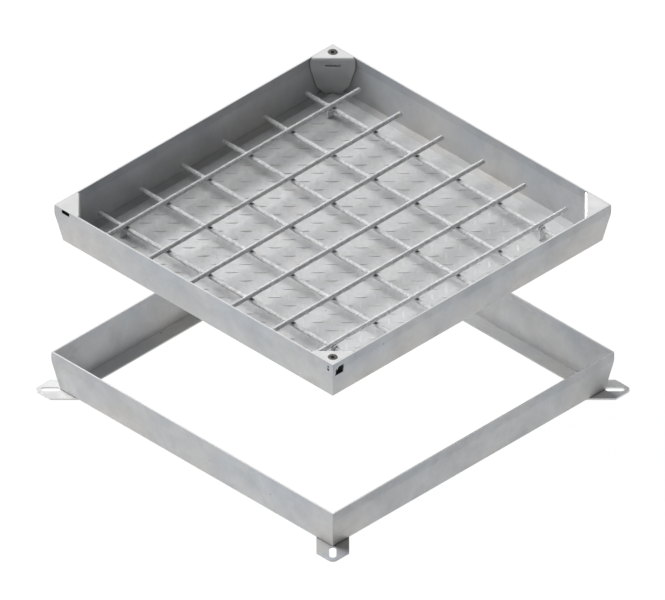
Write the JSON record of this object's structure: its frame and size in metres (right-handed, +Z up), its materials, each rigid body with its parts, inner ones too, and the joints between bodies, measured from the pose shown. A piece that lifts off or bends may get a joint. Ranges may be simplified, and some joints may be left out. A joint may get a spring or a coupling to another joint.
{
  "type": "recessed paving cover",
  "caption": "Square recessed paving cover: a folded tray with a tear plate and a welded bar mesh, raised above its folded frame, which has slotted corner lugs.",
  "frame": {"origin": "centre of the square that the lugs' undersides reach, on the ground", "axes": "+Z up, X and Y along the frame's sides; the corner with the window and the two peg holes is at +X, -Y"},
  "size_m": [0.7232, 0.7232, 0.3896],
  "materials": {
    "frame_sheet": "hot-dip galvanised, matt, cloudy",
    "lug_sheet": "hot-dip galvanised, matt, cloudy",
    "tray_sheet": "hot-dip galvanised, matt, cloudy",
    "tear_plate": "hot-dip galvanised, matt, cloudy",
    "mesh_bar": "hot-dip galvanised, matt, cloudy",
    "clip_strip": "hot-dip galvanised, matt, cloudy",
    "corner_sheet": "hot-dip galvanised, matt, cloudy",
    "fastener_steel": "dark oiled steel"
  },
  "bodies": {
    "root": {"frame_rail_front_right": "frame_sheet", "frame_rail_back_right": "frame_sheet", "frame_rail_back_left": "frame_sheet", "frame_rail_front_left": "frame_sheet", "lug_front": "lug_sheet", "lug_right": "lug_sheet", "lug_back": "lug_sheet", "lug_left": "lug_sheet", "tray_wall_front_right": "tray_sheet", "tray_wall_back_right": "tray_sheet", "tray_wall_back_left": "tray_sheet", "tray_wall_front_left": "tray_sheet", "tear_plate": "tear_plate", "mesh_top_bar_1": "mesh_bar", "mesh_top_bar_2": "mesh_bar", "mesh_top_bar_3": "mesh_bar", "mesh_top_bar_4": "mesh_bar", "mesh_top_bar_5": "mesh_bar", "mesh_top_bar_6": "mesh_bar", "mesh_cross_bar_1": "mesh_bar", "mesh_cross_bar_2": "mesh_bar", "mesh_cross_bar_3": "mesh_bar", "mesh_cross_bar_4": "mesh_bar", "mesh_cross_bar_5": "mesh_bar", "mesh_cross_bar_6": "mesh_bar", "mesh_clip_front": "clip_strip", "mesh_clip_right": "clip_strip", "mesh_clip_back": "clip_strip", "mesh_clip_left": "clip_strip", "corner_plate_front": "corner_sheet", "corner_plate_right": "corner_sheet", "corner_plate_back": "corner_sheet", "corner_plate_left": "corner_sheet", "nut_plate_front": "corner_sheet", "screw_front": "fastener_steel", "nut_front": "fastener_steel", "nut_plate_back": "corner_sheet", "screw_back": "fastener_steel", "nut_back": "fastener_steel"}
  },
  "joints": []
}
